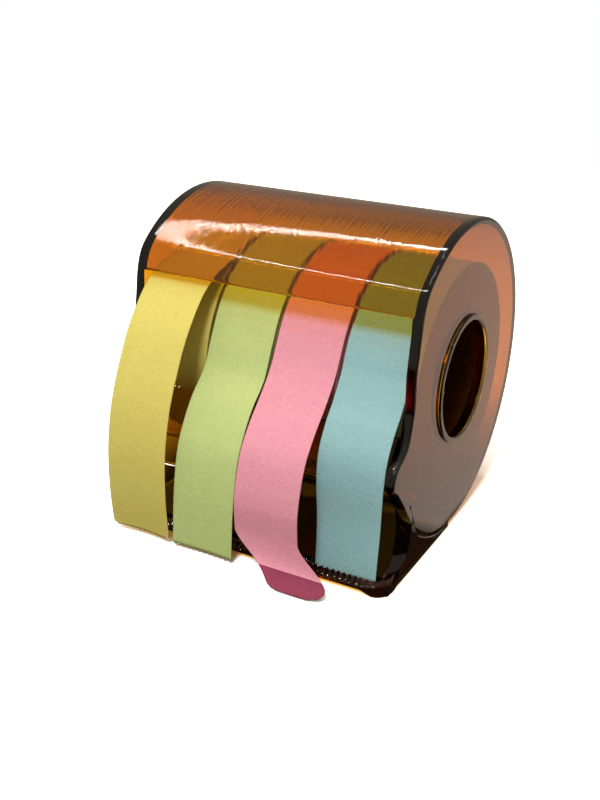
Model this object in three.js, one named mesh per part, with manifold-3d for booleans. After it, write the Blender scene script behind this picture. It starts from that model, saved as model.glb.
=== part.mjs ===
import * as THREE from 'three';
import * as BufferGeometryUtils from 'three/addons/utils/BufferGeometryUtils.js';
import Module from 'manifold-3d';

// Sticky note roll: four rolls of paper tape turn on one hub inside a clear amber drum,
// and their ends hang out over a guide bar, down to a toothed tear bar on the base.
// Millimetres, +Z up, the open front towards -Y, the hub along X.
// The origin is on the table, straight under the middle of the hub.

// Paper tapes
const tapeWidth = 15;
const tapeGap = 0.9;
const paper = 0.3;
const rollRadius = 25.3;
const turnRidges = 4;
const turnRelief = 0.2;
const tapes = [
  { name: 'yellow', colour: 0xd9cc70 },
  { name: 'green', colour: 0xb4c97f },
  { name: 'pink', colour: 0xe79aa6 },
  { name: 'blue', colour: 0x97bdb9 },
];

// Card cores and the hub that they turn on
const boreRadius = 13;
const hubWall = 0.9;
const hubClearance = 0.3;
const rimWidth = 0.5;
const rimThickness = 0.6;
const coreWall = 1.5;
const coreClearance = 0.15;

// Drum cover
const drumRadius = 35;
const wall = 1.6;
const endWall = 2.2;
const sideClearance = 0.2;
const seatClearance = 0.3;
const lipAngle = 134.6;
const lipLength = 4.2;
const lipTurn = 27;
const shellEndAngle = -60;
const lobeAngle = 211.5;
const guideThickness = 1.4;

// Base
const footDrop = 1;
const floorThickness = 1.6;
const floorFront = 2.2;
const floorRear = 19;
const wideFloorEnd = -2;
const heelInset = 4.75;
const cornerRadius = 3.6;
const tearReach = 4.6;
const tearHeight = 3.4;
const tearEdge = 1.1;
const tearShelf = 9.6;
const tearSlope = 6.6;
const bottomGap = 1;
const toothPitch = 1.3;
const toothDepth = 0.8;

// Loose ends: how far each is tucked along its roll, in degrees, and where it ends
const tailTuck = 16;
const tailFront = 1;
const tailBack = 3.9;
const bendShare = 0.2;

// How finely round stretches are divided
const roundSides = 32;
const drumStep = 6;
const cornerStep = 18;
const routeSteps = 26;
const guideSteps = 8;
const edgeSteps = 26;

// Sizes that follow
const pitch = tapeWidth + tapeGap;
const bundleWidth = tapes.length * tapeWidth + (tapes.length - 1) * tapeGap;
const innerHalf = bundleWidth / 2 + sideClearance;
const outerHalf = innerHalf + endWall;
const hubRadius = boreRadius + hubWall;
const holeRadius = hubRadius + hubClearance;
const coreRadius = holeRadius + coreWall;
const rollInnerRadius = coreRadius + coreClearance;
const shellInner = drumRadius - wall;
const axisHeight = drumRadius + footDrop;
const table = -axisHeight;
const floorTop = table + floorThickness;
const heelHalf = outerHalf - heelInset;
const tearTip = { y: -(drumRadius + tearReach), z: table + tearHeight };

const wasm = await Module();
wasm.setup();

const radians = THREE.MathUtils.degToRad;

// Section points are (y, z) from the hub's axis. inRadii takes them as shares of the drum's
// radius, so that the front's curves stay on the drum when it grows.
const point = (y, z) => new THREE.Vector2(y, z);
const inRadii = (pairs) => pairs.map(([y, z]) => point(y * drumRadius, z * drumRadius));
const onCircle = (radius, degrees) =>
  point(radius * Math.cos(radians(degrees)), radius * Math.sin(radians(degrees)));

function arc(radius, from, to, step = drumStep) {
  const count = Math.max(1, Math.ceil(Math.abs(to - from) / step));
  const points = [];
  for (let i = 0; i <= count; i += 1) {
    points.push(onCircle(radius, from + ((to - from) * i) / count));
  }
  return points;
}

const smooth = (points, count) => new THREE.SplineCurve(points).getPoints(count);

// A strip of even thickness along a line of points, as one outline.
function strip(points, thickness) {
  const front = [];
  const back = [];
  points.forEach((here, i) => {
    const before = points[Math.max(i - 1, 0)];
    const after = points[Math.min(i + 1, points.length - 1)];
    const along = after.clone().sub(before).normalize();
    const across = point(-along.y, along.x).multiplyScalar(thickness / 2);
    front.push(here.clone().add(across));
    back.push(here.clone().sub(across));
  });
  return front.concat(back.reverse());
}

// Makes a closed surface into a solid body that can be joined and cut.
function solid(geometry) {
  const bare = geometry.index ? geometry.clone() : BufferGeometryUtils.mergeVertices(geometry);
  bare.deleteAttribute('normal');
  bare.deleteAttribute('uv');
  const merged = BufferGeometryUtils.mergeVertices(bare, 1e-5);
  const vertProperties = new Float32Array(merged.attributes.position.array);
  const triVerts = new Uint32Array(merged.index.array);
  return new wasm.Manifold(new wasm.Mesh({ numProp: 3, vertProperties, triVerts }));
}

// A section in (y, z) drawn out along X from one face to the other.
const sectionToSpace = new THREE.Matrix4().makeBasis(
  new THREE.Vector3(0, 1, 0),
  new THREE.Vector3(0, 0, 1),
  new THREE.Vector3(1, 0, 0),
);

function slab(points, fromX, toX, holes = []) {
  const shape = new THREE.Shape(points);
  shape.holes = holes.map((hole) => new THREE.Path(hole));
  const geometry = new THREE.ExtrudeGeometry(shape, { depth: toX - fromX, bevelEnabled: false });
  geometry.applyMatrix4(sectionToSpace);
  geometry.translate(fromX, 0, 0);
  return solid(geometry);
}

// A closed profile of (radius, x) points turned about the hub's axis.
function turned(profile) {
  const closed = profile.concat([profile[0]]);
  const geometry = new THREE.LatheGeometry(closed, roundSides);
  geometry.rotateZ(-Math.PI / 2);
  return solid(geometry);
}

function mesh(name, body, material) {
  const { vertProperties, triVerts } = body.getMesh();
  const geometry = new THREE.BufferGeometry();
  geometry.setAttribute('position', new THREE.BufferAttribute(new Float32Array(vertProperties), 3));
  geometry.setIndex(new THREE.BufferAttribute(new Uint32Array(triVerts), 1));
  geometry.computeVertexNormals();
  const piece = new THREE.Mesh(geometry, material);
  piece.name = name;
  return piece;
}

const join = (bodies) => bodies.reduce((whole, body) => whole.add(body));

// Materials
const amber = new THREE.MeshStandardMaterial({ color: 0x8a4a1c, roughness: 0.08, metalness: 0 });
const card = new THREE.MeshStandardMaterial({ color: 0xa9967a, roughness: 0.85, metalness: 0 });
const paperIn = (color) => new THREE.MeshStandardMaterial({ color, roughness: 0.8, metalness: 0 });

// The drum's outer line ends in a flat lip, turned a little more steeply than the circle.
const lipKink = onCircle(drumRadius, lipAngle);
const lipDirection = onCircle(1, lipAngle + 90 + lipTurn);
const lipCorner = lipKink.clone().addScaledVector(lipDirection, lipLength);
const lipInward = point(-lipDirection.y, lipDirection.x);
const lipInner = lipCorner.clone().addScaledVector(lipInward, wall);

// Front edge of each end disc, from the lip down to the ear that keeps the tape on its bar.
const discFront = inRadii([
  [-0.766, 0.426],
  [-0.789, 0.28],
  [-0.786, 0.1],
  [-0.8, 0.014],
  [-0.851, -0.131],
  [-0.98, -0.217],
  [-1.026, -0.331],
  [-0.96, -0.391],
]);

// Middle line of the guide bar that the tapes hang over, from its top edge down.
const guideLine = inRadii([
  [-0.829, -0.103],
  [-0.906, -0.189],
  [-0.937, -0.271],
  [-0.949, -0.36],
]);

// Drum shell, both end discs and the guide bar are one moulding.
function buildCover() {
  const discLine = smooth([lipCorner, ...discFront, onCircle(drumRadius, lobeAngle)], edgeSteps);
  const discOutline = discLine
    .concat(arc(drumRadius, lobeAngle, 360 + shellEndAngle).slice(1))
    .concat(arc(drumRadius, 360 + shellEndAngle, 360 + lipAngle).slice(1));
  const hole = arc(holeRadius, 0, 360, 360 / roundSides).slice(1);
  const shellOutline = arc(drumRadius, shellEndAngle, lipAngle)
    .concat([lipCorner, lipInner])
    .concat(arc(shellInner, lipAngle, shellEndAngle));
  const guide = strip(smooth(guideLine, guideSteps), guideThickness);
  return join([
    slab(discOutline, innerHalf, outerHalf, [hole]),
    slab(discOutline, -outerHalf, -innerHalf, [hole]),
    slab(shellOutline, -innerHalf - endWall / 2, innerHalf + endWall / 2),
    slab(guide, -innerHalf - endWall / 2, innerHalf + endWall / 2),
  ]);
}

// Floor, end walls, tear bar and the curved bottom behind them are one moulding.
// The cover's end discs stand in round seats cut from its end walls.
function buildBase() {
  const frontY = -(drumRadius + floorFront);
  const seatRadius = drumRadius + seatClearance;
  const seatInner = innerHalf - seatClearance;
  const sideOutline = smooth([
    onCircle(seatRadius, lobeAngle),
    ...inRadii([[-0.82, -0.62], [-0.81, -0.69], [-0.826, -0.783]]),
    point(tearTip.y + tearShelf, tearTip.z + 2 * tearEdge),
    point(tearTip.y + tearSlope, tearTip.z + tearEdge),
  ], edgeSteps).concat([
    point(tearTip.y + tearEdge, tearTip.z + tearEdge / 2),
    point(frontY, table),
    point(wideFloorEnd, table),
    point(wideFloorEnd, floorTop),
    onCircle(shellInner - wall, lobeAngle),
  ]);
  const wideFloor = [
    point(frontY, table),
    point(wideFloorEnd, table),
    point(wideFloorEnd, floorTop),
    point(frontY, floorTop),
  ];
  const heel = [
    point(wideFloorEnd, table),
    point(floorRear, table),
    onCircle(drumRadius, shellEndAngle - 2 * bottomGap),
    onCircle(shellInner, shellEndAngle - 2 * bottomGap),
    point(floorRear - 2 * wall, floorTop),
    point(wideFloorEnd, floorTop),
  ];
  const bottomEnd = 360 + shellEndAngle - bottomGap;
  const bottom = arc(drumRadius, 270, bottomEnd).concat(arc(shellInner, bottomEnd, 270));
  const tearBar = [
    point(frontY, table),
    point(frontY + floorThickness, table),
    point(frontY + floorThickness, floorTop),
    point(tearTip.y + tearEdge, tearTip.z + tearEdge),
    point(tearTip.y, tearTip.z),
  ];
  const seat = arc(seatRadius, 0, 360).slice(1);
  return join([
    slab(wideFloor, -outerHalf, outerHalf),
    slab(heel, -heelHalf, heelHalf),
    slab(bottom, -seatInner, seatInner),
    slab(sideOutline, innerHalf, outerHalf),
    slab(sideOutline, -outerHalf, -innerHalf),
    slab(tearBar, -outerHalf, outerHalf),
  ])
    .subtract(slab(seat, seatInner, outerHalf + wall))
    .subtract(slab(seat, -outerHalf - wall, -seatInner))
    .subtract(toothCutter())
    .intersect(cornerPlan());
}

// The base's outline from above, with both of its front corners rounded.
function cornerPlan() {
  const straight = outerHalf - cornerRadius;
  const corner = tearTip.y + cornerRadius;
  const cornerArc = (side) => arc(cornerRadius, side < 0 ? 180 : 270, side < 0 ? 270 : 360, cornerStep)
    .map((place) => point(place.x + side * straight, place.y + corner));
  const outline = [...cornerArc(-1), ...cornerArc(1), point(outerHalf, drumRadius),
    point(-outerHalf, drumRadius)];
  const shape = new THREE.Shape(outline);
  const geometry = new THREE.ExtrudeGeometry(shape, { depth: drumRadius, bevelEnabled: false });
  geometry.translate(0, 0, table);
  return solid(geometry);
}

// Everything in front of a zigzag line, seen from above, is cut off the tear bar.
function toothCutter() {
  const count = Math.floor((2 * outerHalf) / toothPitch);
  const margin = outerHalf - (count * toothPitch) / 2;
  const root = tearTip.y + toothDepth;
  const past = tearTip.y - 2 * tearReach;
  const line = [];
  for (let i = 0; i < count; i += 1) {
    const left = -outerHalf + margin + i * toothPitch;
    line.push(new THREE.Vector2(left, tearTip.y));
    line.push(new THREE.Vector2(left + toothPitch / 2, root));
  }
  line.push(new THREE.Vector2(outerHalf - margin, tearTip.y));
  line.push(new THREE.Vector2(outerHalf - margin, past));
  line.push(new THREE.Vector2(-outerHalf + margin, past));
  const shape = new THREE.Shape(line.reverse());
  const geometry = new THREE.ExtrudeGeometry(shape, { depth: axisHeight, bevelEnabled: false });
  geometry.translate(0, 0, table - 1);
  return solid(geometry);
}

// One sleeve through both discs, with a thin rim on the right one.
function buildHub() {
  return turned([
    point(boreRadius, -outerHalf),
    point(hubRadius, -outerHalf),
    point(hubRadius, outerHalf),
    point(hubRadius + rimWidth, outerHalf),
    point(hubRadius + rimWidth, outerHalf + rimThickness),
    point(boreRadius, outerHalf + rimThickness),
  ]);
}

function buildCore(centre) {
  const left = centre - tapeWidth / 2;
  const right = centre + tapeWidth / 2;
  return turned([
    point(holeRadius, left),
    point(coreRadius, left),
    point(coreRadius, right),
    point(holeRadius, right),
  ]);
}

// The wound turns, with ridges on both faces where some turns stand a little proud.
function buildTurns(centre) {
  const face = (side) => {
    const points = [];
    const count = 2 * turnRidges;
    for (let i = 0; i <= count; i += 1) {
      const radius = THREE.MathUtils.lerp(rollInnerRadius, rollRadius, i / count);
      const depth = i % 2 === 0 ? turnRelief : 0;
      points.push(point(radius, centre + side * (tapeWidth / 2 - depth)));
    }
    return points;
  };
  return turned(face(-1).concat(face(1).reverse()));
}

// Where each loose end runs, from the angle at which it leaves its roll to its cut end.
// skew shifts the end along X, and twist swings its two edges fore and aft.
const tearFront = tearTip.y - tailFront;
const tearBack = tearTip.y + tailBack;
const routes = {
  yellow: {
    leave: 107,
    line: inRadii([[-0.45, 0.62], [-0.694, 0.535], [-0.897, 0.326], [-1.031, 0.1], [-1.131, -0.143],
      [-1.183, -0.403], [-1.189, -0.694]]),
    end: [point(tearFront, tearTip.z - 1)],
    skew: 0,
    twist: 0,
  },
  green: {
    leave: 152,
    line: inRadii([[-0.703, 0.211], [-0.78, 0.054], [-0.92, -0.083], [-1.023, -0.229],
      [-1.094, -0.386], [-1.14, -0.649]]),
    end: [point(tearFront - 0.2, tearTip.z - 1.4)],
    skew: 0,
    twist: 0,
  },
  pink: {
    leave: 152,
    line: inRadii([[-0.74, 0.149], [-0.854, 0.009], [-0.983, -0.123], [-1.086, -0.26],
      [-1.143, -0.417], [-1.171, -0.586], [-1.16, -0.786]]),
    end: [
      point(tearFront, tearTip.z + 0.6),
      point(tearFront - 2, table + 1.6),
      point(tearFront - 5, table + 0.7),
    ],
    skew: 7,
    twist: 0,
  },
  blue: {
    leave: 158,
    line: inRadii([[-0.711, 0.183], [-0.809, 0.037], [-0.891, -0.059], [-0.971, -0.2],
      [-1, -0.366], [-1, -0.64]]),
    end: [point(tearBack, tearTip.z - 0.6)],
    skew: 0,
    twist: 1.3,
  },
};

// The loose end is a ribbon with four corners at each station of its route.
function buildTail(centre, route) {
  const middle = rollRadius - paper / 2;
  const start = arc(middle, route.leave - tailTuck, route.leave, tailTuck / 2);
  const way = smooth([start[start.length - 1], ...route.line, ...route.end], routeSteps);
  const stations = start.slice(0, -1).concat(way);
  const outline = strip(stations, paper);
  const last = stations.length - 1;
  const skewFrom = last - Math.round(routeSteps * bendShare);
  const corners = [];
  stations.forEach((station, i) => {
    const low = THREE.MathUtils.smoothstep(i, last / 2, last);
    const shift = route.skew * THREE.MathUtils.smoothstep(i, skewFrom, last);
    const swing = (route.twist / 2) * low;
    const outer = outline[i];
    const inner = outline[outline.length - 1 - i];
    for (const side of [-1, 1]) {
      const x = centre + (side * tapeWidth) / 2 + shift;
      corners.push(x, outer.x - side * swing, outer.y, x, inner.x - side * swing, inner.y);
    }
  });
  const faces = [0, 1, 3, 0, 3, 2];
  const ring = [0, 1, 3, 2];
  for (let i = 0; i < last; i += 1) {
    ring.forEach((corner, k) => {
      const a = i * 4 + corner;
      const b = i * 4 + ring[(k + 1) % 4];
      faces.push(a, a + 4, b + 4, a, b + 4, b);
    });
  }
  faces.push(...[0, 3, 1, 0, 2, 3].map((corner) => last * 4 + corner));
  const geometry = new THREE.BufferGeometry();
  geometry.setAttribute('position', new THREE.Float32BufferAttribute(corners, 3));
  geometry.setIndex(faces);
  return solid(geometry);
}

const drum = new THREE.Group();
drum.position.z = axisHeight;
drum.add(mesh('cover', buildCover(), amber));
drum.add(mesh('base', buildBase(), amber));
drum.add(mesh('hub', buildHub(), amber));
tapes.forEach((tape, i) => {
  const centre = (i - (tapes.length - 1) / 2) * pitch;
  const roll = buildTurns(centre).add(buildTail(centre, routes[tape.name]));
  drum.add(mesh(`${tape.name}_core`, buildCore(centre), card));
  drum.add(mesh(`${tape.name}_roll`, roll, paperIn(tape.colour)));
});

const part = new THREE.Group();
part.add(drum);

export default part;
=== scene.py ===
import math
import random

import bmesh
import bpy
from mathutils import Matrix, Vector
from mathutils.geometry import tessellate_polygon


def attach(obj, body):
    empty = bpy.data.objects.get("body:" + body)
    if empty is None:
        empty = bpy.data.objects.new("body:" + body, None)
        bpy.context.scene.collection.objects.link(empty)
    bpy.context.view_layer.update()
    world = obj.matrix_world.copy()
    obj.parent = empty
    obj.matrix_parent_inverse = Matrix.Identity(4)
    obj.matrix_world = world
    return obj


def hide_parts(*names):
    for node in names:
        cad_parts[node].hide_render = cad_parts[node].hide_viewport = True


# Sticky note roll: four rolls of note tape on a hub inside a clear amber drum.
# Lengths are millimetres, counted from the middle of the hub, and mm() turns them into
# metres from the table. X runs along the hub, and -Y is the open front.
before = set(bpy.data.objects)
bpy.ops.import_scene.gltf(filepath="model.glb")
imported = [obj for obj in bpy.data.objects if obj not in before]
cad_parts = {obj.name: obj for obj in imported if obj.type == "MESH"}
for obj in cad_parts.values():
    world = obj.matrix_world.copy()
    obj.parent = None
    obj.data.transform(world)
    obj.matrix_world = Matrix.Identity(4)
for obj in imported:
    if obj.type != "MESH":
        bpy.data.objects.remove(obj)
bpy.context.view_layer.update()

MM = 0.001
AXIS = 36.0
TABLE = -AXIS
DRUM = 35.0
WALL = 1.6
SHELL_INNER = DRUM - WALL
INNER_HALF = 31.55
OUTER_HALF = 33.75
HOLE = 14.2
BORE = 13.0
SLEEVE = 13.9
CORE = 15.7
ROLL_INNER = 15.85
ROLL = 25.3
TAPE = 15.0
PITCH = 15.9
PAPER_THICKNESS = 0.14
TEAR_TIP = (-39.6, -32.6)


def mm(x, y, z):
    return Vector((x, y, z + AXIS)) * MM


def clamped(value):
    return max(0.0, min(1.0, value))


def soft_step(value, start, span):
    """Rises smoothly from 0 at start to 1 one span later."""
    t = clamped((value - start) / span)
    return t * t * (3 - 2 * t)


# Colours and nodes
def linear(hexcode):
    """An sRGB hex colour as a linear RGBA tuple."""
    parts = [int(hexcode[i:i + 2], 16) / 255 for i in (0, 2, 4)]
    return tuple(c / 12.92 if c <= 0.04045 else ((c + 0.055) / 1.055) ** 2.4 for c in parts) + (1.0,)


def add(tree, kind, settings=None, inputs=None):
    """Adds a node, sets its properties, and sets or links its inputs."""
    made = tree.nodes.new(kind)
    for key, value in (settings or {}).items():
        setattr(made, key, value)
    for key, value in (inputs or {}).items():
        if isinstance(value, bpy.types.NodeSocket):
            tree.links.new(value, made.inputs[key])
        else:
            made.inputs[key].default_value = value
    return made


def material(name):
    made = bpy.data.materials.new(name)
    made.use_nodes = True
    tree = made.node_tree
    tree.nodes.clear()
    return made, tree, add(tree, "ShaderNodeOutputMaterial")


def ramp(tree, factor, stops):
    made = add(tree, "ShaderNodeValToRGB", inputs={"Fac": factor})
    elements = made.color_ramp.elements
    while len(elements) < len(stops):
        elements.new(0.5)
    for element, (position, colour) in zip(elements, stops):
        element.position = position
        element.color = colour
    return made.outputs["Color"]


def place(tree):
    return add(tree, "ShaderNodeTexCoord").outputs["Object"]


# Pattern scales are counts per metre. Real polishing marks and paper fibres are finer than
# these: they are drawn as coarse as they need to be to show.
MOULD_RIPPLES = 55.0  # a ripple every 18 mm
HANDLING_GRAIN = 900.0  # a dull spot every 1.1 mm
POLISH_ACROSS = 1500.0  # a mark every 0.7 mm along the hub
POLISH_ALONG = 45.0  # each mark about 22 mm long
PAPER_CLOUDS = 420.0  # a cloud every 2.4 mm
PAPER_FIBRES = 2100.0  # a fibre every 0.5 mm
CARD_FLECKS = 1500.0  # a fleck every 0.7 mm
FLOOR_GRAIN = 300.0  # a grain every 3.3 mm
MATT_PAPER = {"IOR": 1.45, "Specular IOR Level": 0.3}


def amber_plastic():
    # Injection-moulded clear amber polystyrene. Polished mould faces give sharp reflections,
    # broken by faint flow ripples and by fine polishing marks that run round the drum. Its dye
    # deepens with the length of plastic that is looked through, so edges look nearly black.
    made, tree, out = material("clear_amber_polystyrene")
    where = place(tree)
    ripple = add(tree, "ShaderNodeTexNoise", inputs={
        "Vector": where, "Scale": MOULD_RIPPLES, "Detail": 2.0})
    grain = add(tree, "ShaderNodeTexNoise", inputs={
        "Vector": where, "Scale": HANDLING_GRAIN, "Detail": 3.0})
    rough = add(tree, "ShaderNodeMapRange", inputs={
        "Value": grain.outputs["Fac"], "From Min": 0.4, "From Max": 0.75,
        "To Min": 0.03, "To Max": 0.09})
    round_the_drum = add(tree, "ShaderNodeMapping", inputs={
        "Vector": where, "Scale": (POLISH_ACROSS, POLISH_ALONG, POLISH_ALONG)})
    marks = add(tree, "ShaderNodeTexNoise", inputs={
        "Vector": round_the_drum.outputs["Vector"], "Scale": 1.0, "Detail": 2.0})
    polish = add(tree, "ShaderNodeBump", inputs={
        "Height": marks.outputs["Fac"], "Strength": 0.5, "Distance": 0.00005})
    bump = add(tree, "ShaderNodeBump", inputs={
        "Height": ripple.outputs["Fac"], "Strength": 0.12, "Distance": 0.0006,
        "Normal": polish.outputs["Normal"]})
    body = add(tree, "ShaderNodeBsdfPrincipled", inputs={
        "Base Color": (1.0, 1.0, 1.0, 1.0), "IOR": 1.59, "Transmission Weight": 1.0,
        "Roughness": rough.outputs["Result"], "Normal": bump.outputs["Normal"]})
    # Light that falls on the paper goes straight through the plastic, tinted by the dye.
    through = add(tree, "ShaderNodeBsdfTransparent", inputs={"Color": (0.95, 0.95, 0.95, 1.0)})
    path = add(tree, "ShaderNodeLightPath")
    light = add(tree, "ShaderNodeMath", {"operation": "MAXIMUM"}, {
        0: path.outputs["Is Shadow Ray"], 1: path.outputs["Is Diffuse Ray"]})
    mix = add(tree, "ShaderNodeMixShader", inputs={
        "Fac": light.outputs["Value"], 1: body.outputs["BSDF"], 2: through.outputs["BSDF"]})
    dye = add(tree, "ShaderNodeVolumeAbsorption", inputs={
        "Color": (0.902, 0.75, 0.055, 1.0), "Density": 1900.0})
    tree.links.new(mix.outputs["Shader"], out.inputs["Surface"])
    tree.links.new(dye.outputs["Volume"], out.inputs["Volume"])
    return made


def note_paper(name, light, dark):
    # Uncoated note paper, dyed in the pulp: matt, with a fine cloudy grain of fibres.
    made, tree, out = material(name)
    where = place(tree)
    cloud = add(tree, "ShaderNodeTexNoise", inputs={
        "Vector": where, "Scale": PAPER_CLOUDS, "Detail": 4.0})
    fibre = add(tree, "ShaderNodeTexNoise", inputs={
        "Vector": where, "Scale": PAPER_FIBRES, "Detail": 2.0, "Distortion": 1.2})
    both = add(tree, "ShaderNodeMath", {"operation": "MULTIPLY_ADD"}, {
        0: cloud.outputs["Fac"], 1: 0.25, 2: fibre.outputs["Fac"]})
    colour = ramp(tree, both.outputs["Value"], [(0.4, linear(dark)), (0.85, linear(light))])
    bump = add(tree, "ShaderNodeBump", inputs={
        "Height": fibre.outputs["Fac"], "Strength": 0.8, "Distance": 0.00012})
    body = add(tree, "ShaderNodeBsdfPrincipled", inputs={
        "Base Color": colour, "Roughness": 0.82, "Normal": bump.outputs["Normal"], **MATT_PAPER})
    tree.links.new(body.outputs["BSDF"], out.inputs["Surface"])
    return made


def core_card():
    # Spiral-wound grey board: matt, with darker flecks of recycled fibre. The flecks are the board's own;
    # its overall dark tone is painted shade for the view into the bore.
    made, tree, out = material("wound_core_card")
    fleck = add(tree, "ShaderNodeTexNoise", inputs={
        "Vector": place(tree), "Scale": CARD_FLECKS, "Detail": 5.0})
    colour = ramp(tree, fleck.outputs["Fac"], [(0.35, linear("3c3128")), (0.6, linear("594a3a"))])
    body = add(tree, "ShaderNodeBsdfPrincipled", inputs={
        "Base Color": colour, "Roughness": 0.9, **MATT_PAPER})
    tree.links.new(body.outputs["BSDF"], out.inputs["Surface"])
    return made


AMBER = amber_plastic()
CARD = core_card()
PAPERS = {
    "yellow": note_paper("yellow_note_paper", "e0d476", "d5c763"),
    "green": note_paper("green_note_paper", "c6d68e", "b8ca7e"),
    "pink": note_paper("pink_note_paper", "eda6b4", "e293a6"),
    "blue": note_paper("blue_note_paper", "9ac4c6", "8bb6ba"),
}
# The last few millimetres of the pink strip are painted a deeper pink: painted shade on the strip's folded
# end.
PINK_END_PAINTED_SHADE = note_paper("pink_note_paper_painted_shade", "9a4560", "8c3c54")


# Outlines in (y, z)
def on_circle(radius, degrees):
    a = math.radians(degrees)
    return (radius * math.cos(a), radius * math.sin(a))


def arc(radius, start, end, step=2.0):
    count = max(1, math.ceil(abs(end - start) / step))
    return [on_circle(radius, start + (end - start) * i / count) for i in range(count + 1)]


def smooth(points, count):
    """A uniform Catmull-Rom curve through the points."""
    last = len(points) - 1
    line = []
    for step in range(count + 1):
        at = last * step / count
        i = min(int(at), last - 1)
        t = at - i
        four = [points[max(i - 1, 0)], points[i], points[i + 1], points[min(i + 2, last)]]
        line.append(tuple(
            (2 * b - 2 * c + (c - a) / 2 + (d - b) / 2) * t ** 3
            + (-3 * b + 3 * c - (c - a) - (d - b) / 2) * t ** 2 + (c - a) / 2 * t + b
            for a, b, c, d in zip(*four)))
    return line


def in_radii(pairs):
    """Points given as shares of the drum's radius."""
    return [(y * DRUM, z * DRUM) for y, z in pairs]


def spaced(points, gap):
    """The same line with its points evenly spaced."""
    line = [Vector(p) for p in points]
    total = sum((b - a).length for a, b in zip(line, line[1:]))
    count = max(2, round(total / gap))
    result, walked, i = [tuple(line[0])], 0.0, 0
    for step in range(1, count):
        target = total * step / count
        while walked + (line[i + 1] - line[i]).length < target:
            walked += (line[i + 1] - line[i]).length
            i += 1
        share = (target - walked) / (line[i + 1] - line[i]).length
        result.append(tuple(line[i].lerp(line[i + 1], share)))
    return result + [tuple(line[-1])]


def inset(points, distances, closed=True):
    """Each point moved to its left by its distance."""
    count = len(points)
    moved = []
    for i, here in enumerate(points):
        before = points[i - 1] if closed or i else here
        after = points[(i + 1) % count] if closed or i < count - 1 else here
        y, z = after[0] - before[0], after[1] - before[1]
        length = math.hypot(y, z)
        moved.append((here[0] - z / length * distances[i], here[1] + y / length * distances[i]))
    return moved


def eased(start, bend, end, steps=10):
    """Points of a soft bend from start to end, start left out."""
    a, b, c = Vector(start), Vector(bend), Vector(end)
    shares = [k / steps for k in range(1, steps + 1)]
    return [tuple(a.lerp(b, t).lerp(b.lerp(c, t), t)) for t in shares]


def quarter_turn(steps):
    """Angles from 0 to a quarter turn."""
    return [math.pi / 2 * k / steps for k in range(steps + 1)]


def rounded(profile, radius, steps=4):
    """A closed profile with its corners rounded, but never by more than its sides allow."""
    most = 0.45
    result = []
    count = len(profile)
    for i, corner in enumerate(profile):
        here = Vector(corner)
        before = Vector(profile[i - 1]) - here
        after = Vector(profile[(i + 1) % count]) - here
        cut = min(radius, before.length * most, after.length * most)
        a = here + before.normalized() * cut
        b = here + after.normalized() * cut
        for k in range(steps + 1):
            t = k / steps
            result.append(tuple(a.lerp(here, t).lerp(here.lerp(b, t), t)))
    return result


# Meshes. Points closer than WELD are joined and edges shorter than SLIVER dissolved, both in
# metres. A face is one of the flat ends where the X part of its normal is over FACES_X.
WELD = 2e-6
SLIVER = 1e-7
FACES_X = 0.9999


class Builder:
    """Collects rings of points and the faces between them, and makes one mesh of them."""

    def __init__(self):
        self.verts = []
        self.faces = []

    def ring(self, points, x):
        start = len(self.verts)
        self.verts.extend(mm(x, y, z) for y, z in points)
        return list(range(start, start + len(points)))

    def band(self, a, b, closed=True):
        count = len(a)
        for i in range(count if closed else count - 1):
            j = (i + 1) % count
            self.faces.append((a[i], a[j], b[j], b[i]))

    def bands(self, rings, closed=True):
        for a, b in zip(rings, rings[1:]):
            self.band(a, b, closed)

    def cap(self, loops):
        """Fills the first loop, with the others left open as holes."""
        index = [i for loop in loops for i in loop]
        outlines = [[Vector((self.verts[i].y, self.verts[i].z, 0)) for i in loop] for loop in loops]
        for face in tessellate_polygon(outlines):
            self.faces.append(tuple(index[k] for k in face))

    def finish(self, name, finish, sharp=32.0):
        """Flat end faces and bends over the sharp angle keep a crisp edge."""
        mesh = bpy.data.meshes.new(name)
        mesh.from_pydata(self.verts, [], self.faces)
        body = bmesh.new()
        body.from_mesh(mesh)
        bmesh.ops.remove_doubles(body, verts=body.verts, dist=WELD)
        bmesh.ops.dissolve_degenerate(body, edges=body.edges, dist=SLIVER)
        bmesh.ops.recalc_face_normals(body, faces=body.faces)
        flat_faces = {f for f in body.faces if abs(f.normal.x) > FACES_X}
        for edge in body.edges:
            flats = sum(f in flat_faces for f in edge.link_faces)
            angle = edge.calc_face_angle(0.0)
            edge.smooth = not (flats == 1 or angle > math.radians(sharp))
        for face in body.faces:
            face.smooth = True
        body.to_mesh(mesh)
        body.free()
        made = bpy.data.objects.new(name, mesh)
        bpy.context.scene.collection.objects.link(made)
        mesh.materials.append(finish)
        return made


def lathe(name, profile, finish, sides):
    """A closed (radius, x) profile turned round the hub's axis."""
    built = Builder()
    rings = []
    for k in range(sides):
        a = 2 * math.pi * k / sides
        start = len(built.verts)
        built.verts.extend(mm(x, r * math.cos(a), r * math.sin(a)) for r, x in profile)
        rings.append(list(range(start, start + len(profile))))
    built.bands(rings + rings[:1])
    return built.finish(name, finish)


def dress(obj, node):
    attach(obj, "root")
    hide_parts(node)


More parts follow.
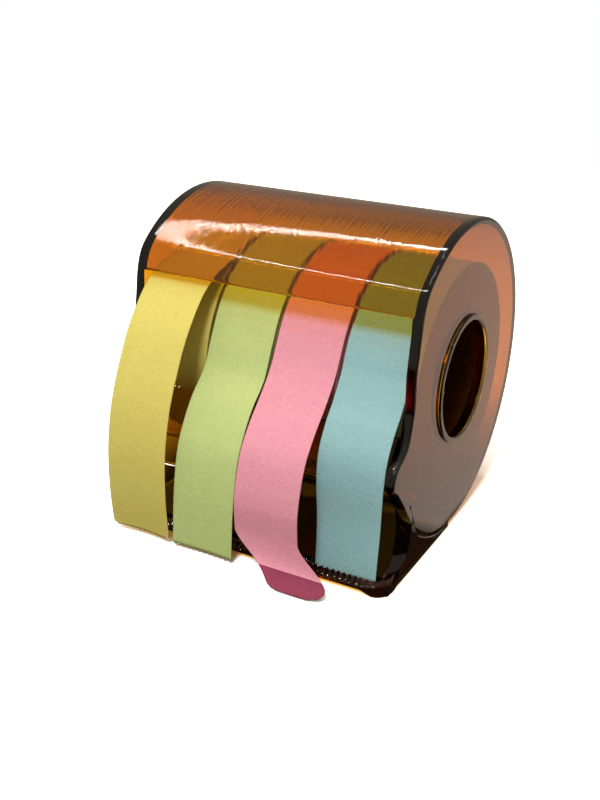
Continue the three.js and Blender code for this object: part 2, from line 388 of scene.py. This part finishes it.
# Drum cover
LIP_ANGLE = 134.6
SHELL_END = 300.0
LOBE_ANGLE = 211.5
LIP_LENGTH = 4.2
LIP_TURN = 27.0
LIP_EASE = 4.0
LIP_EDGE = 0.55
LIP_BEND = LIP_LENGTH * 0.35
LIP_ROOT = LIP_LENGTH * 0.93
OUTER_ROUND = 0.75
INNER_ROUND = 0.5
OUTER_STEPS = 6
INNER_STEPS = 4
TAPER_POINTS = 6
EDGE_STEP = 0.6
EDGE_POINTS = 200
LIP_STEP = 0.5
GUIDE_HALF = 0.7
GUIDE_POINTS = 24
HOLE_STEP = 4
FRONT_EDGE = [(-0.766, 0.426), (-0.789, 0.28), (-0.786, 0.1), (-0.8, 0.014), (-0.851, -0.131),
              (-0.98, -0.217), (-1.026, -0.331), (-0.96, -0.391)]
GUIDE_LINE = [(-0.829, -0.103), (-0.906, -0.189), (-0.937, -0.271), (-0.949, -0.36)]

lip_kink = on_circle(DRUM, LIP_ANGLE)
lip_along = on_circle(1, LIP_ANGLE + 90 + LIP_TURN)
lip_corner = (lip_kink[0] + lip_along[0] * LIP_LENGTH, lip_kink[1] + lip_along[1] * LIP_LENGTH)
lip_inward = (-lip_along[1], lip_along[0])


def lip_point(back, depth):
    """A point of the lip, that far back from its edge and that deep under its outer face."""
    return (lip_corner[0] - lip_along[0] * back + lip_inward[0] * depth,
            lip_corner[1] - lip_along[1] * back + lip_inward[1] * depth)


def cover_outline():
    """The discs' outline, and how many of its first points lie on the free edge."""
    front = smooth([lip_corner] + in_radii(FRONT_EDGE) + [on_circle(DRUM, LOBE_ANGLE)], EDGE_POINTS)
    start = lip_point(LIP_EDGE, 0)
    free = spaced([start, lip_point(0.1, 0.02), lip_point(0.02, 0.12)] + front[2:], EDGE_STEP)
    free += arc(DRUM, LOBE_ANGLE, SHELL_END)[1:]
    over = arc(DRUM, SHELL_END, 360 + LIP_ANGLE - LIP_EASE)
    over += eased(over[-1], lip_kink, lip_point(LIP_BEND, 0))
    over += spaced([over[-1], start], LIP_STEP)[1:]
    return free + over[1:-1], len(free)


def shell_inside():
    """The shell's inside line, from the lip's rounded edge to the shell's end."""
    turn = [math.radians(a) for a in (0, 18, 36, 54, 72, 90)]
    inside = [lip_point(LIP_EDGE * (1 - math.sin(t)), LIP_EDGE * (1 - math.cos(t))) for t in turn[1:]]
    inside += [lip_point(LIP_EDGE * (1 - math.cos(t)), WALL - LIP_EDGE * (1 - math.sin(t))) for t in turn]
    inside += spaced([inside[-1], lip_point(LIP_BEND, WALL)], LIP_STEP)[1:]
    drum_line = arc(SHELL_INNER, 360 + LIP_ANGLE - LIP_EASE, SHELL_END)
    inside += eased(lip_point(LIP_BEND, WALL), lip_point(LIP_ROOT, WALL), drum_line[0])
    return inside + drum_line[1:]


def round_end(centre, start_point):
    """The half circle that closes an end of the guide bar's section."""
    arm = Vector(start_point) - centre
    return [tuple(centre + Matrix.Rotation(math.radians(a), 2) @ arm) for a in (-30, -60, -90, -120, -150)]


def guide_bar():
    guide = smooth(in_radii(GUIDE_LINE), GUIDE_POINTS)
    upper, lower = [inset(guide, [d] * len(guide), closed=False) for d in (GUIDE_HALF, -GUIDE_HALF)]
    return (upper + round_end(Vector(guide[-1]), upper[-1])
            + lower[::-1] + round_end(Vector(guide[0]), lower[0]))


def rim_loop(built, outline, side, t):
    """The outline where the disc's outer edge is rounded, t through the quarter turn."""
    depth = OUTER_ROUND * (1 - math.sin(t))
    x = OUTER_HALF - OUTER_ROUND * (1 - math.cos(t))
    return built.ring(inset(outline, [depth] * len(outline)), side * x)


def free_loop(built, outline, taper, side, t):
    """The free edge where the disc's inner edge is rounded, t through the quarter turn."""
    depth = [r * (1 - math.sin(t)) for r in taper] + [0.0] * (len(outline) - len(taper))
    start = len(built.verts)
    for r, (y, z) in zip(taper, inset(outline, depth)):
        built.verts.append(mm(side * (INNER_HALF + r * (1 - math.cos(t))), y, z))
    return list(range(start, start + len(taper)))


def build_cover():
    outline, free_count = cover_outline()
    inside = shell_inside()
    bar = guide_bar()
    hole = arc(HOLE, 0, 360, HOLE_STEP)[:-1]
    last_free = free_count - 1
    taper = [INNER_ROUND * min(1.0, min(i, last_free - i) / TAPER_POINTS) for i in range(free_count)]

    built = Builder()
    rims, insides, bars, seams = [], [], [], []
    for side in (1, -1):
        rounds = [rim_loop(built, outline, side, t) for t in quarter_turn(OUTER_STEPS)]
        built.bands(rounds)
        rims.append(rounds[-1])
        seams.append(built.ring(inset(outline, [0.0] * len(outline)), side * INNER_HALF))
        inner_rounds = [free_loop(built, outline, taper, side, t)
                        for t in quarter_turn(INNER_STEPS)[::-1]]
        built.band(rounds[-1][:free_count], inner_rounds[0], closed=False)
        built.bands(inner_rounds, closed=False)
        shell_in = built.ring(inside, side * INNER_HALF)
        shell_out = inner_rounds[-1]
        insides.append([shell_out[0]] + shell_in + [shell_out[-1]])
        bars.append(built.ring(bar, side * INNER_HALF))
        near = built.ring(hole, side * INNER_HALF)
        far = built.ring(hole, side * OUTER_HALF)
        built.band(near, far)
        built.cap([rounds[0], far])
        built.cap([shell_out + shell_in[::-1], bars[-1], near])
    # The shell's skin runs straight across from one rim to the other.
    across = [r[last_free:] + r[:1] for r in (rims[0], seams[0], seams[1], rims[1])]
    built.bands(across, closed=False)
    built.band(insides[0], insides[1], closed=False)
    built.band(bars[0], bars[1])
    return built.finish("drum_cover", AMBER)


dress(build_cover(), "cover")


# Hub
HUB_SIDES = 160
HUB_ROUND = 0.4
RIM_WIDTH = 0.5
RIM_THICKNESS = 0.6


def build_hub():
    end = OUTER_HALF + RIM_THICKNESS
    rim = SLEEVE + RIM_WIDTH
    return lathe("hub_sleeve", rounded([
        (BORE, -OUTER_HALF), (SLEEVE, -OUTER_HALF), (SLEEVE, OUTER_HALF),
        (rim, OUTER_HALF), (rim, end), (BORE, end)], HUB_ROUND), AMBER, HUB_SIDES)


dress(build_hub(), "hub")


# Rolls and loose ends
TAPES = ["yellow", "green", "pink", "blue"]
TURN_RINGS = 44
TURN_RAGGED = 0.16
TURN_SIDES = 192
CORE_SIDES = 96
CORE_ROUND = 0.15
SEED = 11
TUCK = 16
TUCK_STEP = 4
STANDS_OFF = 0.12
TAIL_STEP = 0.55
TAIL_POINTS = 160
LOW_FROM = 0.5
LOW_SPAN = 0.5
SCALLOPS = 11
SCALLOP_COLUMNS = 6
SCALLOP_DEPTH = 0.45
SLANT_REACH = 8
CURL_FROM = 0.72
CURL_SPREAD = 0.08
SWING_FROM = 0.82
SWING_SPAN = 0.16

# The way of each loose end. leave is where it leaves its roll, in degrees. line is its way in
# shares of the drum's radius, and end its last points in millimetres. The rest is millimetres
# too, and grows towards the tip. cup is how far the sides stand off from the middle, twist how
# much further the right side stands off than the left, and curl how far the left side turns
# back. skew is how far the tip swings to the right. slant is how much less the right side
# reaches than the middle. corner is the radius of rounded corners, which take the place of a
# scalloped cut. under is the length of the end painted a darker pink as painted shade.
ROUTES = {
    "yellow": dict(leave=107, line=[(-0.45, 0.62), (-0.694, 0.535), (-0.897, 0.326), (-1.031, 0.1),
                                    (-1.131, -0.143), (-1.183, -0.403), (-1.189, -0.694)],
                   end=[(-40.7, -34.2)], skew=0.0, twist=0.0, cup=0.5, corner=1.2),
    "green": dict(leave=152, line=[(-0.703, 0.211), (-0.78, 0.054), (-0.92, -0.083), (-1.023, -0.229),
                                   (-1.094, -0.386), (-1.14, -0.649)],
                  end=[(-40.7, -34.5)], skew=0.0, twist=0.0, cup=0.3),
    "pink": dict(leave=152, line=[(-0.74, 0.149), (-0.854, 0.009), (-0.983, -0.123), (-1.086, -0.26),
                                  (-1.143, -0.417), (-1.171, -0.586), (-1.16, -0.786)],
                 end=[(-41.2, -32.0), (-42.9, -34.2), (-45.2, -35.4)], skew=8.4, twist=0.0, cup=0.3,
                 corner=4.0, under=4.6),
    "blue": dict(leave=158, line=[(-0.711, 0.183), (-0.809, 0.037), (-0.891, -0.059), (-0.971, -0.2),
                                  (-1.0, -0.366), (-1.0, -0.64)],
                 end=[(-35.75, -33.2)], skew=0.0, twist=1.3, cup=0.4, slant=1.0, curl=1.2),
}


def build_turns(tape, centre, draw):
    """The wound turns, whose faces are slightly uneven from turn to turn."""
    radii = [ROLL_INNER + (ROLL - ROLL_INNER) * i / TURN_RINGS for i in range(TURN_RINGS + 1)]
    right = [(r, centre + TAPE / 2 - draw.uniform(0.0, TURN_RAGGED)) for r in radii]
    left = [(r, centre - TAPE / 2 + draw.uniform(0.0, TURN_RAGGED)) for r in radii]
    return lathe(f"{tape}_turns", left + right[::-1], PAPERS[tape], TURN_SIDES)


def build_core(tape, centre):
    return lathe(f"{tape}_core_tube", rounded([
        (HOLE, centre - TAPE / 2), (CORE, centre - TAPE / 2),
        (CORE, centre + TAPE / 2), (HOLE, centre + TAPE / 2)], CORE_ROUND, 2), CARD, CORE_SIDES)


def tail_line(route):
    """The middle line of a loose end, from its tuck on the roll to its cut end."""
    middle = ROLL - PAPER_THICKNESS / 2 + STANDS_OFF
    tuck = arc(middle, route["leave"] - TUCK, route["leave"], TUCK_STEP)
    way = smooth([tuck[-1]] + in_radii(route["line"]) + route["end"], TAIL_POINTS)
    return spaced(tuck + way[1:], TAIL_STEP)


def rounded_off(corner, left_over):
    """How much narrower each side is, that far before a tip with rounded corners."""
    if left_over >= corner:
        return 0.0
    return corner - math.sqrt(max(0.0, corner ** 2 - (corner - left_over) ** 2))


def tail_row(built, line, i, centre, route, columns):
    """The points across a loose end at place i of its line."""
    last = len(line) - 1
    left_over = TAIL_STEP * last * (1 - i / last)
    corner = route.get("corner", 0.0)
    half = TAPE / 2 - rounded_off(corner, left_over)
    before, after = line[max(i - 1, 0)], line[min(i + 1, last)]
    along = Vector((after[0] - before[0], after[1] - before[1])).normalized()
    out = Vector((along.y, -along.x))
    low = soft_step(i / last, LOW_FROM, LOW_SPAN)
    swing = route["skew"] * soft_step(i / last, SWING_FROM, SWING_SPAN)
    row = []
    for j in range(columns + 1):
        u = 2 * j / columns - 1
        scallop = abs((j % SCALLOP_COLUMNS) / SCALLOP_COLUMNS - 0.5) * 2
        reach = SCALLOP_DEPTH * (1 - scallop ** 2) if i == last and not corner else 0.0
        reach -= u * route.get("slant", 0.0) * max(0.0, 1 - left_over / SLANT_REACH)
        lift = route["cup"] * (1 - u * u) * low
        p = Vector(line[i]) + along * reach - out * (lift - route["cup"] * low)
        p.x -= u * route["twist"] / 2 * low
        p.x += route.get("curl", 0.0) * max(0.0, -u - CURL_FROM) ** 2 / CURL_SPREAD * low
        row.append(len(built.verts))
        built.verts.append(mm(centre + u * half + swing, p.x, p.y))
    return row


def build_tail(tape, centre, route):
    """A sheet that follows its line, given its thickness by a modifier."""
    line = tail_line(route)
    columns = SCALLOPS * SCALLOP_COLUMNS
    built = Builder()
    grid = [tail_row(built, line, i, centre, route, columns) for i in range(len(line))]
    built.bands(grid, closed=False)
    made = built.finish(f"{tape}_loose_end", PAPERS[tape], sharp=80)
    # Painted shade: the faces of the last under millimetres take the darker pink paper.
    if "under" in route:
        made.data.materials.append(PINK_END_PAINTED_SHADE)
        first = (len(line) - 1) - round(route["under"] / TAIL_STEP)
        for face in made.data.polygons:
            if min(face.vertices) // (columns + 1) >= first:
                face.material_index = 1
    thick = made.modifiers.new("paper_thickness", "SOLIDIFY")
    thick.thickness = PAPER_THICKNESS * MM
    thick.offset = 0.0
    return made


for index, tape in enumerate(TAPES):
    centre = (index - (len(TAPES) - 1) / 2) * PITCH
    draw = random.Random(SEED + index)
    dress(build_turns(tape, centre, draw), f"{tape}_roll")
    dress(build_tail(tape, centre, ROUTES[tape]), f"{tape}_roll")
    dress(build_core(tape, centre), f"{tape}_core")


# Base
FRONT = -37.2
FLOOR_TOP = -34.4
WIDE_END = -2.0
HEEL_HALF = 29.0
HEEL_END = 19.0
SEAT = 35.3
CORNER = 3.6
SLANT = 3.4
SLANT_FROM = -21.0
SLANT_SPAN = 7.0
TOOTH_PITCH = 1.3
TOOTH_DEPTH = 0.8
TOOTH_RISE = 0.25
TIP_TURN = 1.35
ARCH = 0.9
ARCH_HALF = 30.5
ARCH_RUN = 2.5
BAR_BACK = -31.5
JOIN = 0.5
FLOOR_SETBACK = 2.0
FLOOR_INSET = 0.1
FLOOR_ROUND = 0.15
END_WALL_ROUND = 0.3
END_WALL_POINTS = 60
END_WALL_STEP = 0.5
SEAT_STEP = 1.5
HEEL_ROUND = 0.25
HEEL_STOP = SHELL_END - 2
BOTTOM_STOP = SHELL_END - 1
BOTTOM_PLAY = 0.3
BOTTOM_ROUND = 0.2


def rounded_slab(built, outline, left, right, radius, steps=4):
    """A (y, z) outline drawn out along X, with all of its edges rounded."""
    turn = quarter_turn(steps)
    loops = []
    for x, inward, turns in ((left, 1, turn), (right, -1, turn[::-1])):
        for t in turns:
            depth = radius * (1 - math.sin(t))
            at = x + inward * radius * (1 - math.cos(t))
            loops.append(built.ring(inset(outline, [depth] * len(outline)), at))
    built.bands(loops)
    built.cap([loops[0]])
    built.cap([loops[-1]])


def end_wall_outline():
    """An end wall: its front edge, its foot, and the seat that the drum lies in."""
    shoulder = in_radii([(-0.82, -0.62), (-0.81, -0.69), (-0.826, -0.783)])
    toe = [(-30.2, -30.5), (-33.0, -31.7), (-33.9, -33.2)]
    front = smooth([on_circle(SEAT, LOBE_ANGLE)] + shoulder + toe, END_WALL_POINTS)
    seat_end = 360 - math.degrees(math.acos(WIDE_END / SEAT))
    side = front + [(-33.9, -35.6), (-33.5, TABLE), (WIDE_END, TABLE)]
    side += arc(SEAT, seat_end, LOBE_ANGLE, SEAT_STEP)[:-1]
    return spaced(side + side[:1], END_WALL_STEP)[:-1]


def add_end_wall(built, side):
    """An end wall whose front edge slants back towards its outer face."""
    first = len(built.verts)
    near, far = sorted((side * INNER_HALF, side * OUTER_HALF))
    rounded_slab(built, end_wall_outline(), near, far, END_WALL_ROUND)
    for at in built.verts[first:]:
        outward = (abs(at.x) / MM - INNER_HALF) / (OUTER_HALF - INNER_HALF)
        at.y += SLANT * MM * outward * clamped((SLANT_FROM - at.y / MM) / SLANT_SPAN)


def add_floor_and_heel(built):
    floor_front = FRONT + FLOOR_SETBACK
    floor_side = [(floor_front, TABLE), (WIDE_END, TABLE), (WIDE_END, FLOOR_TOP), (floor_front, FLOOR_TOP)]
    floor_half = OUTER_HALF - FLOOR_INSET
    rounded_slab(built, floor_side, -floor_half, floor_half, FLOOR_ROUND, 2)
    heel_front = WIDE_END - JOIN
    heel = [(heel_front, TABLE), (HEEL_END, TABLE),
            on_circle(DRUM, HEEL_STOP), on_circle(SHELL_INNER, HEEL_STOP),
            (HEEL_END - 2 * WALL, FLOOR_TOP), (heel_front, FLOOR_TOP)]
    rounded_slab(built, heel, -HEEL_HALF, HEEL_HALF, HEEL_ROUND, 3)
    bottom = arc(DRUM, 270, BOTTOM_STOP) + arc(SHELL_INNER, BOTTOM_STOP, 270)
    bottom_half = INNER_HALF - BOTTOM_PLAY
    rounded_slab(built, bottom, -bottom_half, bottom_half, BOTTOM_ROUND, 2)


def tear_bar_section(x):
    """The bar's section at x: its tip follows the teeth, and both draw back at the corners."""
    past = max(0.0, abs(x) - (OUTER_HALF - CORNER))
    turn = CORNER - math.sqrt(max(0.0, CORNER ** 2 - past ** 2))
    tooth = abs((x / TOOTH_PITCH) % 1.0 - 0.5) * 2
    tip_y = TEAR_TIP[0] + TOOTH_DEPTH * tooth + turn * TIP_TURN
    tip_z = TEAR_TIP[1] + TOOTH_RISE * tooth
    arch = ARCH * clamped((ARCH_HALF - abs(x)) / ARCH_RUN)
    return [
        (FRONT + turn + 0.3, TABLE + arch), (BAR_BACK, TABLE + arch * 0.6), (BAR_BACK, FLOOR_TOP),
        (-33.2, FLOOR_TOP), (-35.0 + turn * 0.3, FLOOR_TOP + 0.6),
        (tip_y + 1.6, tip_z + 0.75), (tip_y + 0.15, tip_z + 0.12), (tip_y, tip_z),
        (tip_y + 0.1, tip_z - 0.2), (FRONT + turn, TABLE + 0.7 + arch),
        (FRONT + turn + 0.05, TABLE + 0.25 + arch)]


def add_tear_bar(built):
    """One section for each quarter of a tooth."""
    quarters = round(8 * OUTER_HALF / TOOTH_PITCH)
    places = [-OUTER_HALF + 2 * OUTER_HALF * k / quarters for k in range(quarters + 1)]
    rings = [built.ring(tear_bar_section(x), x) for x in places]
    built.bands(rings)
    built.cap([rings[0]])
    built.cap([rings[-1]])


def build_base():
    built = Builder()
    for side in (-1, 1):
        add_end_wall(built, side)
    add_floor_and_heel(built)
    add_tear_bar(built)
    return built.finish("toothed_base", AMBER)


dress(build_base(), "base")


# Floor. Each pair of distances runs from where the floor carries painted shade to where it is
# light, in metres: from the middle through the plastic, and sideways and backwards where mirrored.
FLOOR_RADIUS = 0.45
FLOOR_SIDES = 96
FADE_AROUND = (0.04, 0.085)
FADE_BESIDE = (0.0345, 0.0358)
FADE_BACK = (-0.009, -0.002)
CAMERA_WHITE = [(0.3, (2.35, 2.35, 2.35, 1)), (0.7, (2.4, 2.4, 2.4, 1))]
THROWN_BACK = (0.2, 0.18, 0.16, 1)
THROUGH_PLASTIC_PAINTED_SHADE = [(0.0, (0.03, 0.03, 0.03, 1)), (1.0, (1.4, 1.2, 0.8, 1))]
PAINTED_REFLECTION_AND_SHADE = [(0.0, (0.025, 0.018, 0.013, 1)), (1.0, (0.8, 0.62, 0.5, 1))]


def floor_material():
    # A sheet of white card, matt and even. The camera sees it white, with the part's shadow on
    # it. The light it throws back on the part is dim. Through the plastic it is dark close to the
    # part, painted shade in place of the shadowed ground under it. Mirrored in the plastic it is a
    # painted reflection, a warm grey glow that takes no shadow, with painted shade under the part
    # and in front of it. That painted shade keeps the plastic's edges nearly black.
    made, tree, out = material("white_card_sweep")
    grain = add(tree, "ShaderNodeTexNoise", inputs={"Vector": place(tree), "Scale": FLOOR_GRAIN})
    white = ramp(tree, grain.outputs["Fac"], CAMERA_WHITE)
    away = add(tree, "ShaderNodeVectorMath", {"operation": "LENGTH"}, {0: place(tree)})
    far = add(tree, "ShaderNodeMapRange", inputs={
        "Value": away.outputs["Value"], "From Min": FADE_AROUND[0], "From Max": FADE_AROUND[1]})
    # Painted shade: seen through the plastic, the floor darkens towards the part.
    behind = ramp(tree, far.outputs["Result"], THROUGH_PLASTIC_PAINTED_SHADE)
    split = add(tree, "ShaderNodeSeparateXYZ", inputs={"Vector": place(tree)})
    beside = add(tree, "ShaderNodeMath", {"operation": "ABSOLUTE"}, {0: split.outputs["X"]})
    clear = add(tree, "ShaderNodeMapRange", inputs={
        "Value": beside.outputs["Value"], "From Min": FADE_BESIDE[0], "From Max": FADE_BESIDE[1]})
    rear = add(tree, "ShaderNodeMapRange", inputs={
        "Value": split.outputs["Y"], "From Min": FADE_BACK[0], "From Max": FADE_BACK[1]})
    open_floor = add(tree, "ShaderNodeMath", {"operation": "MINIMUM"}, {
        0: clear.outputs["Result"], 1: rear.outputs["Result"]})
    # Painted reflection: mirrored, the floor glows a warm grey, with painted shade under the part and in
    # front of it.
    near = ramp(tree, open_floor.outputs["Value"], PAINTED_REFLECTION_AND_SHADE)
    path = add(tree, "ShaderNodeLightPath")
    inside = add(tree, "ShaderNodeMix", {"data_type": "RGBA"}, {
        "Factor": path.outputs["Is Transmission Ray"], 6: THROWN_BACK, 7: behind})
    colour = add(tree, "ShaderNodeMix", {"data_type": "RGBA"}, {
        "Factor": path.outputs["Is Camera Ray"], 6: inside.outputs[2], 7: white})
    body = add(tree, "ShaderNodeBsdfDiffuse", inputs={"Color": colour.outputs[2]})
    mirrored = add(tree, "ShaderNodeEmission", inputs={"Color": near, "Strength": 1.0})
    bounced = add(tree, "ShaderNodeMath", {"operation": "SUBTRACT", "use_clamp": True}, {
        0: path.outputs["Is Glossy Ray"], 1: path.outputs["Is Transmission Ray"]})
    shown = add(tree, "ShaderNodeMixShader", inputs={
        "Fac": bounced.outputs["Value"], 1: body.outputs["BSDF"], 2: mirrored.outputs["Emission"]})
    tree.links.new(shown.outputs["Shader"], out.inputs["Surface"])
    return made


bpy.ops.mesh.primitive_circle_add(
    vertices=FLOOR_SIDES, radius=FLOOR_RADIUS, fill_type="NGON", location=(0, 0, 0))
floor = bpy.context.object
floor.name = "floor"
floor.data.materials.append(floor_material())


# Light
LIT_POINT = mm(-6, -8, 0)


def pale_room():
    """White behind the part, and a soft warm light all round it."""
    world = bpy.data.worlds.new("pale_room")
    bpy.context.scene.world = world
    world.use_nodes = True
    sky = world.node_tree
    sky.nodes.clear()
    path = add(sky, "ShaderNodeLightPath")
    white = add(sky, "ShaderNodeBackground", inputs={"Color": (1, 1, 1, 1), "Strength": 1.0})
    room = add(sky, "ShaderNodeBackground", inputs={"Color": (1.0, 0.87, 0.7, 1), "Strength": 0.34})
    pick = add(sky, "ShaderNodeMixShader", inputs={
        "Fac": path.outputs["Is Camera Ray"], 1: room.outputs["Background"], 2: white.outputs["Background"]})
    add(sky, "ShaderNodeOutputWorld", inputs={"Surface": pick.outputs["Shader"]})


def towards(azimuth, elevation):
    """The direction from the part to a lamp or camera, with azimuth 0 in front."""
    return Vector((math.sin(azimuth) * math.cos(elevation),
                   -math.cos(azimuth) * math.cos(elevation), math.sin(elevation)))


def softbox(name, azimuth, elevation, distance, size, watts):
    back = towards(math.radians(azimuth), math.radians(elevation))
    data = bpy.data.lights.new(name, "AREA")
    data.shape = "RECTANGLE"
    data.size, data.size_y = size
    data.energy = watts
    lamp = bpy.data.objects.new(name, data)
    bpy.context.scene.collection.objects.link(lamp)
    lamp.location = LIT_POINT + back * distance
    lamp.rotation_euler = back.to_track_quat("Z", "Y").to_euler()
    return lamp


def ring_lamp(centre, radius, width, count, strength):
    """A ring of small lamps that hangs level over the object."""
    finish, tree, out = material("warm_white_lamps")
    glow = add(tree, "ShaderNodeEmission", inputs={"Color": (1.0, 0.97, 0.93, 1), "Strength": strength})
    tree.links.new(glow.outputs["Emission"], out.inputs["Surface"])
    lit_share = 0.62
    half = math.pi / count * lit_share
    inner, outer = radius - width / 2, radius + width / 2
    verts, faces = [], []
    for k in range(count):
        middle = 2 * math.pi * k / count
        for r, a in ((inner, -half), (outer, -half), (outer, half), (inner, half)):
            verts.append(centre + Vector((r * math.cos(middle + a), r * math.sin(middle + a), 0)))
        faces.append(tuple(range(4 * k + 3, 4 * k - 1, -1)))
    mesh = bpy.data.meshes.new("ring_lamp")
    mesh.from_pydata(verts, [], faces)
    mesh.materials.append(finish)
    lamp = bpy.data.objects.new("ring_lamp", mesh)
    bpy.context.scene.collection.objects.link(lamp)


pale_room()
fill = softbox("front_fill", azimuth=8, elevation=50, distance=0.9, size=(0.22, 0.22), watts=5.2)
fill.visible_glossy = False
ring_lamp(Vector((-0.107, -0.015, 0.436)), radius=0.175, width=0.014, count=84, strength=35.0)


# Camera
AZIMUTH, ELEVATION, ROLL_ANGLE = 28.366, 23.375, 0.979
LENS, SENSOR = 47.93, 36.0
DISTANCE = 254.9
LOOKS_AT = Vector((-6.55, 0.0, 21.99))


def add_camera():
    azimuth = math.radians(AZIMUTH)
    back = towards(azimuth, math.radians(ELEVATION))
    right = Vector((math.cos(azimuth), math.sin(azimuth), 0))
    up = back.cross(right)
    lean = math.radians(ROLL_ANGLE)
    axis_x = right * math.cos(lean) + up * math.sin(lean)
    axis_y = up * math.cos(lean) - right * math.sin(lean)
    lens = bpy.data.cameras.new("camera")
    lens.sensor_width = SENSOR
    lens.lens = LENS
    lens.clip_start = 0.01
    camera = bpy.data.objects.new("camera", lens)
    bpy.context.scene.collection.objects.link(camera)
    facing = Matrix((axis_x, axis_y, back)).transposed().to_4x4()
    camera.matrix_world = Matrix.Translation(LOOKS_AT * MM + back * DISTANCE * MM) @ facing
    return camera


bpy.context.scene.camera = add_camera()
bpy.context.scene.view_settings.view_transform = "Standard"
